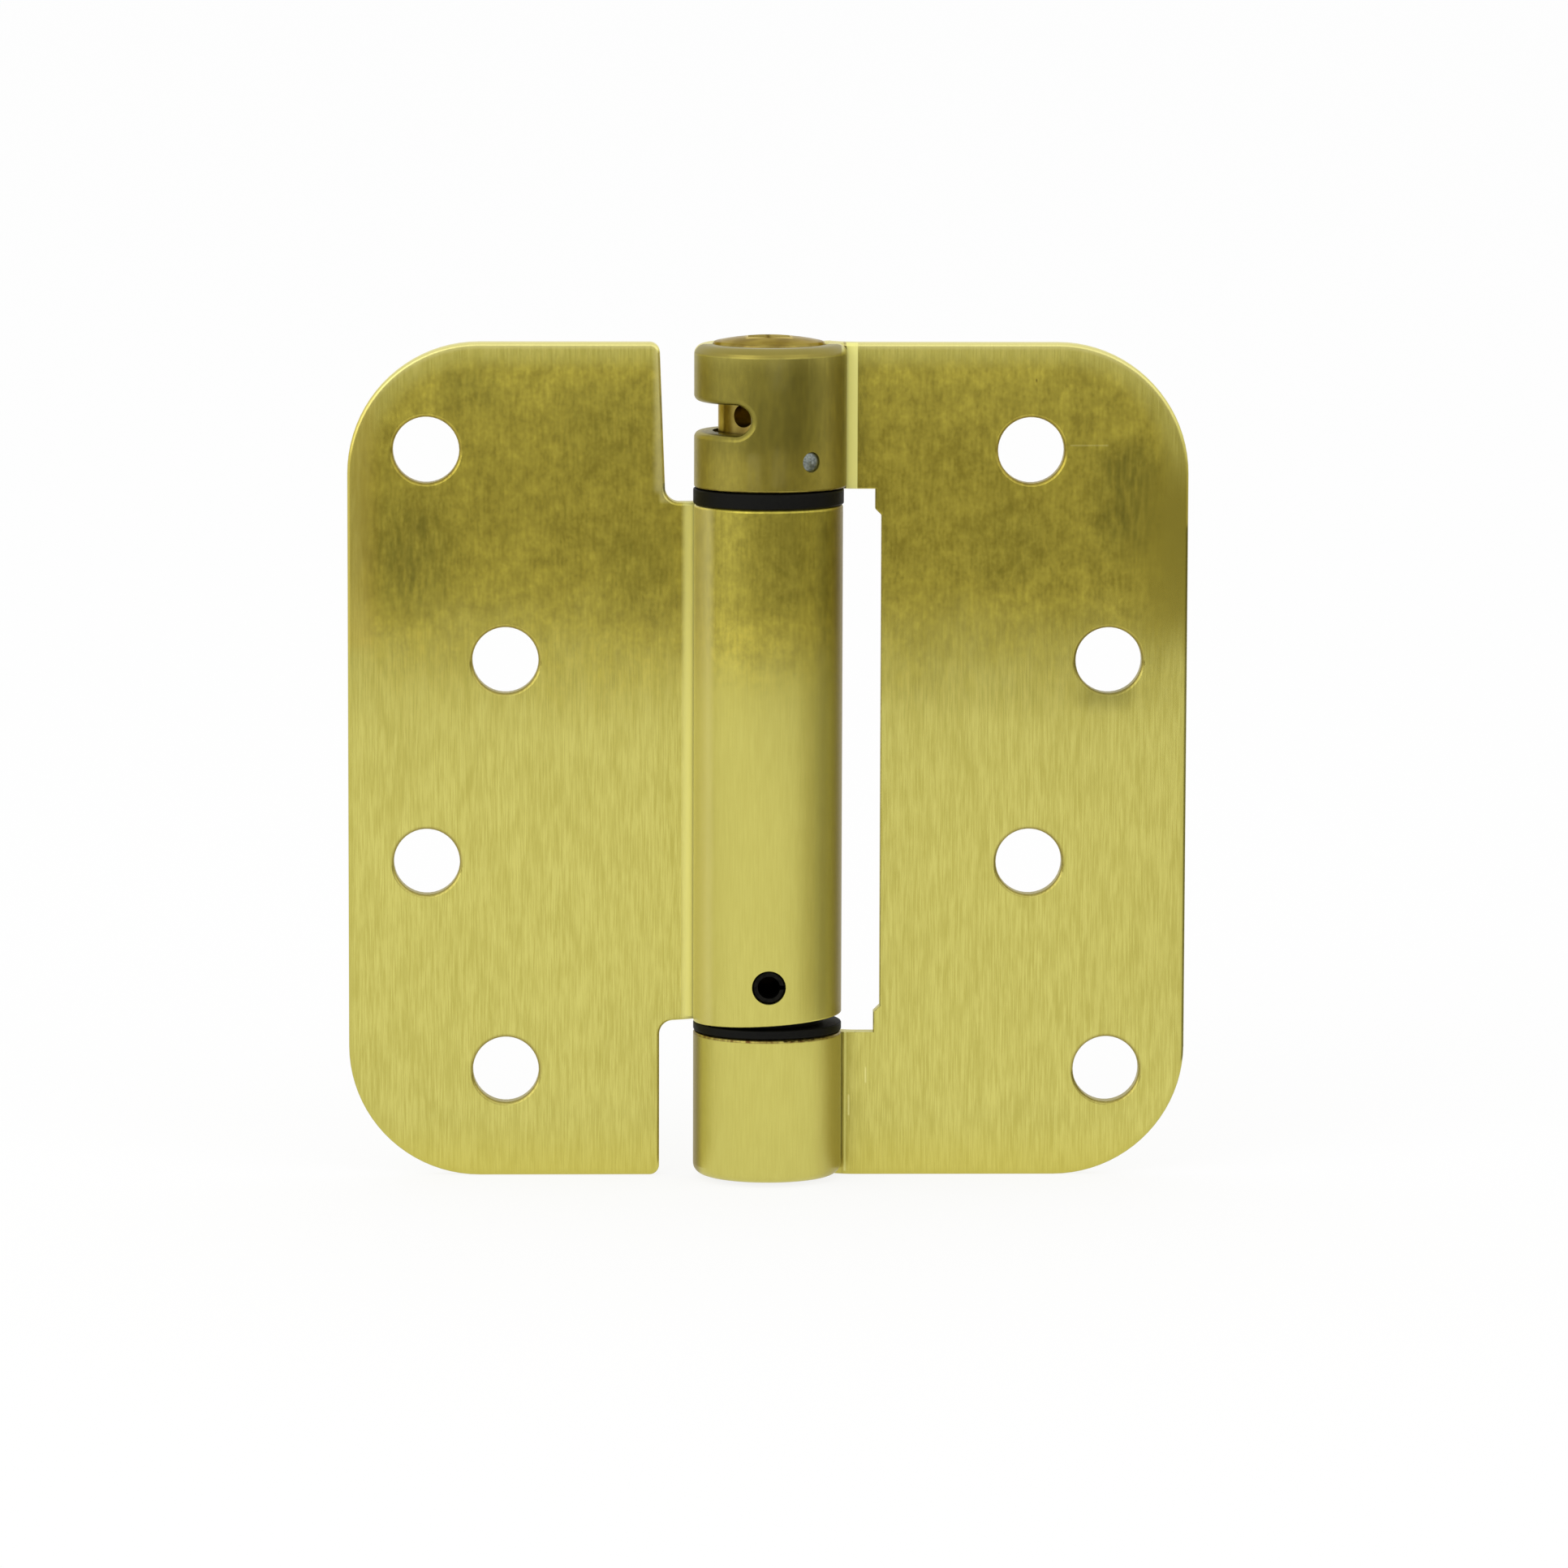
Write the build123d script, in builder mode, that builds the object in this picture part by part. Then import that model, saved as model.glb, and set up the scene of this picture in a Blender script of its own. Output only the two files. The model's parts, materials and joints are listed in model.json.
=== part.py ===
from build123d import *
from math import asin, atan2, cos, degrees, radians, sin, sqrt, tan
import os

# Adjustable self-closing butt hinge, lying open flat. Lengths are in millimetres, +Z is up.
# The origin is on the pin axis, level with the bottom edge of the leaves. The front of the
# hinge faces -Y, the barrel leaf is on the left (-X) and the knuckle leaf on the right (+X).

# Leaves
leaf_height = 101.6
leaf_width = 50.8  # from the pin axis to the outer edge
sheet = 2.2
corner_radius = 15.875
closed_gap = 1.6  # between the two leaves when the hinge is shut
edge_break = 0.4  # rounding of the front edges of the sheet
back_break = 0.2  # rounding of its back edges

# Rolled barrel and knuckles
roll_radius = 9.0  # outside of the barrel
barrel_bend = 3.7  # middle of the sheet, where the leaf turns back into the roll
knuckle_bend = 5.0
seam_gap = 0.2  # from the free end of the roll to the plane of the leaf's front face
loose_from = 300.0  # degrees from +X where the upper knuckle's roll starts to open
loose_extra = 0.9  # its last stretch has a radius this much larger
rim_round = 1.25  # rounding of the outer ends of the knuckles
barrel_rim_round = 0.45  # of the barrel's upper end
knuckle_rim_round = 0.25  # of the ends of the knuckles that face the barrel
upper_knuckle = 17.3  # length of the upper knuckle
lower_knuckle = 17.53
knuckle_setback = 0.5  # lower knuckle, above the bottom edge of the leaf
barrel_skew = 3.6  # degrees that the lower end of the barrel is out of square

# Gaps beside the barrel and the knuckles
notch_gap = 4.1  # from the knuckles to the barrel leaf beside them
notch_taper = 0.7  # how much closer the upper notch comes to the axis at its floor
notch_floor_round = 1.7
notch_mouth_round = 1.2
cutout_gap = 4.7  # from the barrel to the knuckle leaf beside it
cutout_low_inset = 0.45  # from the end of the lower knuckle to the cut-out's lower edge
cutout_high_inset = 0.35  # from the end of the upper knuckle to its upper edge
cutout_step = 0.75  # the ends of the cut-out are this much narrower
cutout_step_height = 3.2
cutout_break = 0.15  # rounding of its front edges

# Screw holes, in two columns on each leaf
screw_hole = 8.0
outer_column = 9.5  # from the outer edge of the leaf
inner_column = 19.05
end_row = 13.0  # from the nearer end of the leaf
middle_row = 38.5

# Black flanged bushes in the ends of the barrel
play = 0.15  # between a flange and the knuckle that turns on it
upper_flange = 1.85
lower_flange = 1.0
flange_proud = 0.1  # upper flange, outside the barrel
flange_round = 0.2
sleeve_length = 9.5
sleeve_wall = 0.53
snug = 0.02  # fits that don't move
running = 0.06  # fits that turn

# Tension adjuster
head_rise = 0.25  # rim of the head above the knuckle
crown_rise = 0.75  # middle of the head above its rim
hex_across = 5.0
hex_depth = 6.0
waist_length = 6.5
waist_depth = 0.64
waist_round = 0.55  # rounding in both corners of the waist
pin_holes = 5
pin_hole = 2.75
pin_hole_depth = 4.0
pin_hole_turn = 238.5  # degrees from +X to the hole that shows in the slot
land_length = 6.0  # from the upper knuckle's lower end to the waist
groove_rise = 3.6  # middle of the groove above the upper knuckle's lower end
groove_width = 2.7
groove_depth = 1.4
shoulder_gap = 0.2  # between the shoulder of a plug and the knuckle's end
spigot_overhang = 1.5  # the spigots reach this far past their bush

# Slot in the upper knuckle
slot_rise = 8.6  # middle of the slot above the knuckle's lower end
slot_height = 3.6
slot_start = 125.0  # degrees from +X, at the back
slot_end = 252.5  # at the front
slot_lip = 0.8  # rounding of the slot's outer edges
pin_hole_rise = 0.35  # pin holes above the middle of the slot

# Pins
retaining_pin = 2.35
retaining_pin_turn = 303.7
retaining_pin_recess = 0.05
retaining_pin_dome = 0.25  # height of its domed end
anchor_pin_size = 4.0
anchor_pin_bore = 2.7
anchor_pin_length = 12.0
anchor_pin_rise = 5.3  # above the flange of the lower bush
anchor_pin_recess = 0.4
anchor_pin_slit = 0.5
pin_fit = 0.05

# Torsion spring and the noses that hold its tangs
wire = 2.4
coil_gap = 0.13  # between one turn and the next
coil_clearance = 0.6  # between the coil and the barrel's bore
nose_clearance = 0.7  # between a nose and the inside of the coil
spring_clearance = 0.3
tang_bend = 1.8
nose_length = 5.0
anchor_recess = 0.6  # lower end of the anchor, above the lower knuckle's end

# Places that follow from the sizes above
front_face = closed_gap / 2
back_face = front_face + sheet
bore_radius = roll_radius - sheet
notch_edge = roll_radius + notch_gap
cutout_edge = roll_radius + cutout_gap
hole_levels = (end_row, middle_row, leaf_height - middle_row, leaf_height - end_row)
slope = tan(radians(barrel_skew))
lower_knuckle_top = knuckle_setback + lower_knuckle
lower_flange_top = lower_knuckle_top + play + lower_flange
barrel_low = lower_flange_top + slope * roll_radius  # on the pin axis
upper_knuckle_low = leaf_height - upper_knuckle
barrel_top = upper_knuckle_low - play - upper_flange
cutout_low = lower_knuckle_top - cutout_low_inset
cutout_high = upper_knuckle_low - cutout_high_inset
anchor_pin_level = lower_flange_top + anchor_pin_rise
groove_level = upper_knuckle_low + groove_rise
slot_level = upper_knuckle_low + slot_rise
slot_round = degrees(slot_height / 2 / roll_radius)
land_radius = bore_radius - running
waist_radius = land_radius - waist_depth
sleeve_inside = bore_radius - snug - sleeve_wall
spigot_radius = sleeve_inside - running
adjuster_seat = barrel_top - sleeve_length - spigot_overhang
anchor_seat = lower_flange_top + sleeve_length + spigot_overhang
pin_hole_level = slot_level + pin_hole_rise
head_rim = leaf_height + head_rise
coil_radius = bore_radius - coil_clearance - wire / 2  # middle of the wire
nose_radius = coil_radius - wire / 2 - nose_clearance
nose_slot = wire + spring_clearance
tang_turn = degrees(asin(tang_bend / (coil_radius - tang_bend)))
tang_length = coil_radius + nose_radius - 2 * tang_bend  # straight across the nose
coil_low = anchor_seat + spring_clearance + wire / 2
coil_high = adjuster_seat - spring_clearance - wire / 2
coils = int((coil_high - coil_low) / (wire + coil_gap))  # whole turns, so both tangs line up


def radial_plane(turn, level):
    """Upright plane through the pin axis: x runs outwards at this angle, y runs up."""
    a = radians(turn)
    return Plane(origin=(0, 0, level), x_dir=(cos(a), sin(a), 0), z_dir=(sin(a), -cos(a), 0))


def facing_plane(turn, level):
    """Upright plane on the pin axis that faces outwards at this angle."""
    a = radians(turn)
    return Plane(origin=(0, 0, level), x_dir=(-sin(a), cos(a), 0), z_dir=(cos(a), sin(a), 0))


def ring_sector(centre, inner, outer, start, end):
    """Sheet that runs round a centre, seen along the pin axis."""
    with BuildLine() as outline:
        inside = CenterArc(centre, inner, start, end - start)
        outside = CenterArc(centre, outer, start, end - start)
        Line(inside @ 0, outside @ 0)
        Line(inside @ 1, outside @ 1)
    make_face(outline.edges())


def bend_centre(radius):
    """Centre of a bend that meets both the leaf and the roll without a kink."""
    y = front_face + sheet / 2 + radius
    return sqrt((roll_radius - sheet / 2 + radius) ** 2 - y**2), y


def roll_end(centre_y, radius):
    """Angle at which a roll of this radius stops, just short of the leaf's front face."""
    return 360 + degrees(asin((front_face - seam_gap - centre_y) / radius))


def roll(low, high, side, radius, loose=0.0):
    """Rolled sheet of a barrel or knuckle, from the bend round to its free end."""
    x, y = bend_centre(radius)
    start = degrees(atan2(y, x))
    with BuildSketch(Plane.XY.offset(low)) as section:
        if loose:
            a = radians(loose_from)
            centre = (-loose * cos(a), -loose * sin(a))
            ring_sector((0, 0), bore_radius, roll_radius, start, loose_from)
            ring_sector(
                centre,
                bore_radius + loose,
                roll_radius + loose,
                loose_from,
                roll_end(centre[1], roll_radius + loose),
            )
        else:
            ring_sector((0, 0), bore_radius, roll_radius, start, roll_end(0, roll_radius))
        if side < 0:
            mirror(about=Plane.YZ, mode=Mode.REPLACE)
    extrude(section.sketch, amount=high - low)


def bend(low, high, side, radius):
    """Short bend that takes the sheet from the leaf back into the roll."""
    x, y = bend_centre(radius)
    with BuildSketch(Plane.XY.offset(low)) as section:
        ring_sector((x, y), radius - sheet / 2, radius + sheet / 2, 180 + degrees(atan2(y, x)), 270)
        if side < 0:
            mirror(about=Plane.YZ, mode=Mode.REPLACE)
    extrude(section.sketch, amount=high - low)


def leaf_blank(side, radius):
    """Flat of the leaf in front view, out to its two round corners."""
    start = bend_centre(radius)[0]
    flat = leaf_width - start
    with Locations((side * (start + flat / 2), leaf_height / 2)):
        Rectangle(flat, leaf_height)
    corners = vertices().group_by(Axis.X)[-1 if side > 0 else 0]
    fillet(corners, corner_radius)


def screw_holes(side):
    """Screw holes in two columns, the barrel leaf starting in its outer column at the top."""
    columns = (leaf_width - outer_column, leaf_width - inner_column)
    for row, level in enumerate(reversed(hole_levels)):
        with Locations((side * columns[(row + (side > 0)) % 2], level)):
            Circle(screw_hole / 2, mode=Mode.SUBTRACT)


def round_edges(part, radius):
    """Circular edges of this radius, from the lowest up."""
    circles = part.edges().filter_by(GeomType.CIRCLE)
    return circles.filter_by(lambda e: abs(e.radius - radius) < 0.01).sort_by(Axis.Z)


def sheet_edges(part, face_y, radius, inner=0.0):
    """Edges of one face of the leaf, past the line where the bend begins or a cut-out."""
    upright = part.faces().filter_by(Axis.Y)
    face = upright.filter_by(lambda f: abs(f.center().Y - face_y) < 0.01)
    start = max(bend_centre(radius)[0], inner)
    return face.edges().filter_by(lambda e: abs(e.center().X) > start + 0.01)


def outer_rim(part, level):
    """Edges round the outside of a roll at this level."""
    circles = part.edges().filter_by(GeomType.CIRCLE)
    return circles.filter_by(lambda e: abs(e.center().Z - level) < 0.01 and e.radius > roll_radius - 0.01)


def slot_lips(part):
    """Edges of the slot on the outside of the knuckle."""
    near = slot_height / 2 + 0.01
    return part.edges().filter_by(
        lambda e: abs(e.center().Z - slot_level) < near
        and all(abs((e @ t).X ** 2 + (e @ t).Y ** 2 - roll_radius**2) < 0.01 for t in (0, 0.5, 1))
    )


def bush(seat, flange, towards, proud=0.0):
    """Flanged bush: the flange lies on the barrel's end, the sleeve runs into it."""
    up_from_seat, down_from_seat = (Align.MIN, Align.MIN), (Align.MIN, Align.MAX)
    with BuildSketch(Plane.XZ) as section:
        with Locations((sleeve_inside, seat)):
            Rectangle(
                roll_radius + proud - sleeve_inside,
                flange,
                align=down_from_seat if towards > 0 else up_from_seat,
            )
            fillet(vertices().group_by(Axis.X)[-1], flange_round)
            Rectangle(sleeve_wall, sleeve_length, align=up_from_seat if towards > 0 else down_from_seat)
    revolve(section.sketch, axis=Axis.Z)


# Left leaf with the middle barrel
with BuildPart() as barrel_leaf:
    roll(lower_knuckle_top, barrel_top, -1, barrel_bend)
    fillet(outer_rim(barrel_leaf.part, barrel_top), barrel_rim_round)
    bend(lower_knuckle_top, barrel_top, -1, barrel_bend)
    with BuildSketch(Plane.XZ.offset(-front_face)):
        leaf_blank(-1, barrel_bend)
        with BuildLine():
            notch = FilletPolyline(
                (-notch_edge, leaf_height - notch_mouth_round),
                (notch_taper - notch_edge, barrel_top),
                (0, barrel_top),
                radius=notch_floor_round,
            )
            mouth = TangentArc(
                notch @ 0, (-notch_edge - notch_mouth_round, leaf_height), tangent=(notch % 0) * -1
            )
            Polyline(mouth @ 1, (-notch_edge, 2 * leaf_height), (0, 2 * leaf_height), notch @ 1)
        make_face(mode=Mode.SUBTRACT)
        with BuildLine():
            notch = FilletPolyline(
                (-notch_edge, notch_mouth_round),
                (-notch_edge, barrel_low - slope * notch_edge),
                (0, barrel_low),
                radius=notch_floor_round,
            )
            mouth = TangentArc(
                notch @ 0, (-notch_edge - notch_mouth_round, 0), tangent=(notch % 0) * -1
            )
            Polyline(mouth @ 1, (-notch_edge, -leaf_height), (0, -leaf_height), notch @ 1)
        make_face(mode=Mode.SUBTRACT)
        screw_holes(-1)
    extrude(amount=-sheet)
    # The lower end of the barrel and its bend is cut slightly out of square.
    with BuildSketch(Plane.XZ):
        with BuildLine():
            reach = bend_centre(barrel_bend)[0]
            Polyline(
                (-reach, 0),
                (-reach, barrel_low - slope * reach),
                (reach, barrel_low + slope * reach),
                (reach, 0),
                close=True,
            )
        make_face()
    extrude(amount=2 * roll_radius, both=True, mode=Mode.SUBTRACT)
    fillet(sheet_edges(barrel_leaf.part, front_face, barrel_bend), edge_break)
    fillet(sheet_edges(barrel_leaf.part, back_face, barrel_bend), back_break)
    with BuildSketch(facing_plane(270, anchor_pin_level)):
        Circle(anchor_pin_size / 2 + pin_fit)
    extrude(amount=2 * roll_radius, mode=Mode.SUBTRACT)

# Right leaf with the two knuckles
with BuildPart() as knuckle_leaf:
    roll(knuckle_setback, lower_knuckle_top, 1, knuckle_bend)
    roll(upper_knuckle_low, leaf_height, 1, knuckle_bend, loose_extra)
    for level in (knuckle_setback, leaf_height):
        fillet(outer_rim(knuckle_leaf.part, level), rim_round)
    for level in (lower_knuckle_top, upper_knuckle_low):
        fillet(outer_rim(knuckle_leaf.part, level), knuckle_rim_round)
    # The slot runs round the knuckle between two round ends.
    with BuildSketch(radial_plane(slot_start + slot_round, slot_level)):
        with Locations((roll_radius, 0)):
            Rectangle(2 * sheet + running, slot_height)
    revolve(axis=Axis.Z, revolution_arc=slot_end - slot_start - 2 * slot_round, mode=Mode.SUBTRACT)
    for turn in (slot_start + slot_round, slot_end - slot_round):
        with BuildSketch(facing_plane(turn, slot_level)):
            Circle(slot_height / 2)
        extrude(amount=2 * roll_radius, mode=Mode.SUBTRACT)
    fillet(slot_lips(knuckle_leaf.part), slot_lip)
    with BuildSketch(facing_plane(retaining_pin_turn, groove_level)):
        Circle(retaining_pin / 2 + pin_fit)
    extrude(amount=2 * roll_radius, mode=Mode.SUBTRACT)
    bend(0, cutout_low, 1, knuckle_bend)
    bend(cutout_high, leaf_height, 1, knuckle_bend)
    # Below the upper knuckle the bend stays clear of the black flange.
    with BuildSketch(Plane.XY.offset(cutout_high)):
        Circle(roll_radius + flange_proud + play)
    extrude(amount=cutout_high_inset, mode=Mode.SUBTRACT)
    with BuildSketch(Plane.XZ.offset(-front_face)):
        leaf_blank(1, knuckle_bend)
        # The cut-out for the barrel narrows in a slanted step at each end.
        with BuildLine():
            narrow = cutout_edge - cutout_step
            step_low = cutout_low + cutout_step_height
            step_high = cutout_high - cutout_step_height
            Polyline(
                (0, cutout_low),
                (narrow, cutout_low),
                (narrow, step_low - cutout_step),
                (cutout_edge, step_low),
                (cutout_edge, step_high),
                (narrow, step_high + cutout_step),
                (narrow, cutout_high),
                (0, cutout_high),
                close=True,
            )
        make_face(mode=Mode.SUBTRACT)
        screw_holes(1)
    extrude(amount=-sheet)
    fillet(sheet_edges(knuckle_leaf.part, front_face, knuckle_bend, cutout_edge), edge_break)
    rest = sheet_edges(knuckle_leaf.part, front_face, knuckle_bend)
    fillet(rest.filter_by(lambda e: abs(e.center().X) < cutout_edge + 0.01), cutout_break)
    fillet(sheet_edges(knuckle_leaf.part, back_face, knuckle_bend), back_break)

# Flanged bush in the upper end of the barrel
with BuildPart() as upper_bearing:
    bush(barrel_top, upper_flange, -1, flange_proud)

# Flanged bush in the lower end of the barrel, drilled for the anchor pin
with BuildPart() as lower_bearing:
    bush(lower_flange_top, lower_flange, 1)
    with BuildSketch(facing_plane(270, anchor_pin_level)):
        Circle(anchor_pin_size / 2 + pin_fit)
    extrude(amount=2 * roll_radius, mode=Mode.SUBTRACT)

# Tension adjuster: head, waist with the pin holes, grooved land, spigot and nose
with BuildPart() as tension_adjuster:
    shoulder = upper_knuckle_low + shoulder_gap
    waist_low = upper_knuckle_low + land_length
    waist_high = waist_low + waist_length
    groove_floor = land_radius - groove_depth
    with BuildSketch(Plane.XZ):
        with BuildLine():
            side_line = Polyline(
                (0, adjuster_seat - nose_length),
                (nose_radius, adjuster_seat - nose_length),
                (nose_radius, adjuster_seat),
                (spigot_radius, adjuster_seat),
                (spigot_radius, shoulder),
                (land_radius, shoulder),
                (land_radius, groove_level - groove_width / 2),
                (groove_floor, groove_level - groove_width / 2),
                (groove_floor, groove_level + groove_width / 2),
                (land_radius, groove_level + groove_width / 2),
                (land_radius, waist_low),
                (waist_radius, waist_low),
                (waist_radius, waist_high),
                (land_radius, waist_high),
                (land_radius, head_rim),
            )
            crown = TangentArc((0, head_rim + crown_rise), side_line @ 1, tangent=(1, 0))
            Line(side_line @ 0, crown @ 0)
        make_face()
    revolve(axis=Axis.Z)
    fillet(round_edges(tension_adjuster.part, land_radius)[-1], edge_break)
    fillet(round_edges(tension_adjuster.part, waist_radius), waist_round)
    with BuildSketch(Plane.XY.offset(head_rim + crown_rise)):
        RegularPolygon(hex_across / 2, 6, major_radius=False, rotation=30)
    extrude(amount=-hex_depth, mode=Mode.SUBTRACT)
    for hole in range(pin_holes):
        turn = pin_hole_turn + hole * 360 / pin_holes
        with BuildSketch(facing_plane(turn, pin_hole_level).offset(waist_radius - pin_hole_depth)):
            Circle(pin_hole / 2)
        extrude(amount=roll_radius, mode=Mode.SUBTRACT)
    with BuildSketch(Plane.XY.offset(adjuster_seat - nose_length)):
        Rectangle(3 * nose_radius, nose_slot, rotation=tang_turn)
    extrude(amount=nose_length, mode=Mode.SUBTRACT)

# Steel pin through the upper knuckle into the adjuster's groove
with BuildPart() as adjuster_retaining_pin:
    pin_tip = roll_radius - retaining_pin_recess
    pin_foot = groove_floor + shoulder_gap
    with BuildSketch(radial_plane(retaining_pin_turn, groove_level)):
        with BuildLine():
            body = Polyline(
                (pin_foot, 0),
                (pin_foot, retaining_pin / 2),
                (pin_tip - retaining_pin_dome, retaining_pin / 2),
            )
            end = TangentArc((pin_tip, 0), body @ 1, tangent=(0, 1))
            Line(body @ 0, end @ 0)
        make_face()
    revolve(axis=Axis((0, 0, groove_level), radial_plane(retaining_pin_turn, 0).x_dir))

# Plug pinned in the barrel: pivot in the lower knuckle, spigot and nose for the spring
with BuildPart() as spring_anchor:
    with BuildSketch(Plane.XZ):
        with BuildLine():
            Polyline(
                (0, knuckle_setback + anchor_recess),
                (land_radius, knuckle_setback + anchor_recess),
                (land_radius, lower_knuckle_top - shoulder_gap),
                (spigot_radius, lower_knuckle_top - shoulder_gap),
                (spigot_radius, anchor_seat),
                (nose_radius, anchor_seat),
                (nose_radius, anchor_seat + nose_length),
                (0, anchor_seat + nose_length),
                close=True,
            )
        make_face()
    revolve(axis=Axis.Z)
    chamfer(round_edges(spring_anchor.part, land_radius)[0], edge_break)
    pin_end = roll_radius - anchor_pin_recess - anchor_pin_length
    with BuildSketch(facing_plane(270, anchor_pin_level).offset(pin_end - spring_clearance)):
        Circle(anchor_pin_size / 2 + pin_fit)
    extrude(amount=2 * roll_radius, mode=Mode.SUBTRACT)
    with BuildSketch(Plane.XY.offset(anchor_seat)):
        Rectangle(3 * nose_radius, nose_slot, rotation=-tang_turn)
    extrude(amount=nose_length, mode=Mode.SUBTRACT)

# Hollow spring pin, slit along its length
with BuildPart() as anchor_pin:
    with BuildSketch(facing_plane(270, anchor_pin_level).offset(pin_end)):
        Circle(anchor_pin_size / 2)
        Circle(anchor_pin_bore / 2, mode=Mode.SUBTRACT)
        with Locations((anchor_pin_size / 2, 0)):
            Rectangle(anchor_pin_size, anchor_pin_slit, mode=Mode.SUBTRACT)
    extrude(amount=anchor_pin_length)
    chamfer(round_edges(anchor_pin.part, anchor_pin_size / 2), edge_break / 2)

# Torsion spring: close coils with a tang bent across the middle at each end
with BuildPart() as torsion_spring:
    with BuildLine() as coil_line:
        Helix((coil_high - coil_low) / coils, coil_high - coil_low, coil_radius, center=(0, 0, coil_low))
    coil = coil_line.edges()[0]
    tangs = []
    for end, forward in ((0, -1), (1, 1)):
        tip = coil @ end
        heading = (coil % end) * forward
        inward = Vector(-tip.X, -tip.Y, 0)
        with BuildLine(Plane(tip, x_dir=heading, z_dir=heading.cross(inward))) as tang_line:
            hook = JernArc((0, 0), (1, 0), tang_bend, 90 + tang_turn)
            Line(hook @ 1, (hook @ 1) + (hook % 1) * tang_length)
        tangs += tang_line.edges()
    spring_path = Wire([coil] + tangs)
    with BuildSketch(Plane(spring_path @ 0, z_dir=spring_path % 0)):
        Circle(wire / 2)
    sweep(path=spring_path)

pieces = {
    "barrel_leaf": barrel_leaf,
    "knuckle_leaf": knuckle_leaf,
    "upper_bearing": upper_bearing,
    "lower_bearing": lower_bearing,
    "tension_adjuster": tension_adjuster,
    "adjuster_retaining_pin": adjuster_retaining_pin,
    "spring_anchor": spring_anchor,
    "anchor_pin": anchor_pin,
    "torsion_spring": torsion_spring,
}
os.makedirs("parts", exist_ok=True)
for name, piece in pieces.items():
    piece.part.label = name
    export_step(piece.part, f"parts/{name}.step")
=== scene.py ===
# %% [markdown]
# # A self-closing hinge in satin brass
#
# The hinge is two leaves folded from brass-finished sheet. Each one is rolled into a barrel or a
# pair of knuckles, and the parts inside, on the pin's axis, carry a torsion spring. Every solid of
# it comes ready from the imported frame, at its real size. So this lesson is mostly about the finish:
# how brushed brass, moulded nylon, toned bronze and steel get their look from nodes. After that a
# copy of the spring is parted in two halves. The frame is loaded first, and its box is kept for
# placing the floor and the cards.

# %% Load the imported frame
import json
from math import atan2, cos, degrees, pi, radians, sin

import bpy
from mathutils import Matrix, Vector


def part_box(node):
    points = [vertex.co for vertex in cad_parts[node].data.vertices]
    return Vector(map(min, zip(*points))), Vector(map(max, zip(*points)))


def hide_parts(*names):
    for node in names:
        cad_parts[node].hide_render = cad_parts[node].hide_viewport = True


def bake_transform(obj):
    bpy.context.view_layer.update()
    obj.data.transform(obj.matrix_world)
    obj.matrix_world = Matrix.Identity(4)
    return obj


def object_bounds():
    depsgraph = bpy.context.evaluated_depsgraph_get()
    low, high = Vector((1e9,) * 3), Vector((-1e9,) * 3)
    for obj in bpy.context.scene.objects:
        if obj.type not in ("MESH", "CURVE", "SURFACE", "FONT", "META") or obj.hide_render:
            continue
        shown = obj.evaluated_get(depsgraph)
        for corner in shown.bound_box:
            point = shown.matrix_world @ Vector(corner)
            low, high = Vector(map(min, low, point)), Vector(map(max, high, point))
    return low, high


MM = 0.001

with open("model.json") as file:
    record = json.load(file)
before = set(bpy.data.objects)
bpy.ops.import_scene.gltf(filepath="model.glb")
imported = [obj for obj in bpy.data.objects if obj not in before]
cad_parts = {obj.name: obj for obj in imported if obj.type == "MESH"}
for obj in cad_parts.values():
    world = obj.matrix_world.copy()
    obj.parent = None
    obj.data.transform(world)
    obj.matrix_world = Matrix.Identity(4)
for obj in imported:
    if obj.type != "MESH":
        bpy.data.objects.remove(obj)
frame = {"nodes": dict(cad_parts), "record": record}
cad_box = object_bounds()
print("nodes:", ", ".join(sorted(frame["nodes"])))
bpy.ops.object.select_all(action="DESELECT")

# %% [markdown]
# ## Camera
#
# The hinge is seen from the front and a little from above, with a long lens, so the leaves stay
# almost square. The camera could be placed by eye, but here it was worked out from the eight screw
# holes, whose places on the real hinge are known. A tiny roll takes up the tilt of the hinge in the
# frame.

# %% Place the camera
CAMERA_PLACE = Vector((-24.7, -1036.3, 181.1)) * MM
CAMERA_TARGET = Vector((1.97, 0, 48.13)) * MM
CAMERA_ROLL = 0.003  # radians
SENSOR, FOCAL = 36.0, 198.07  # millimetres
CLIP_START, CLIP_END = 0.05, 60  # metres


def make_camera():
    data = bpy.data.cameras.new("camera")
    data.sensor_width = SENSOR
    data.sensor_height = SENSOR
    data.lens = FOCAL
    data.clip_start = CLIP_START
    data.clip_end = CLIP_END
    camera = bpy.data.objects.new("camera", data)
    bpy.context.scene.collection.objects.link(camera)
    aim = (CAMERA_TARGET - CAMERA_PLACE).to_track_quat("-Z", "Y").to_matrix().to_4x4()
    roll = Matrix.Rotation(CAMERA_ROLL, 4, "Z")
    camera.matrix_world = Matrix.Translation(CAMERA_PLACE) @ aim @ roll
    bpy.context.scene.camera = camera


make_camera()
print("camera is", round((CAMERA_TARGET - CAMERA_PLACE).length, 3), "m from the hinge")

# %% [markdown]
# ## Three small helpers
#
# Colours are easy to pick as sRGB hex values, but a shader wants linear ones, so one function turns
# them over. Another adds a node, sets its fields and fills or links its inputs, and a third starts
# a material. That keeps each finish below short enough to read like a recipe. Math, Vector Math and
# Mix nodes have several inputs of one name, so those go by number. In a colour Mix, 0 is the share
# and 6 and 7 are the two colours, and in a float Mix, 2 and 3 are the two values.

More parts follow.
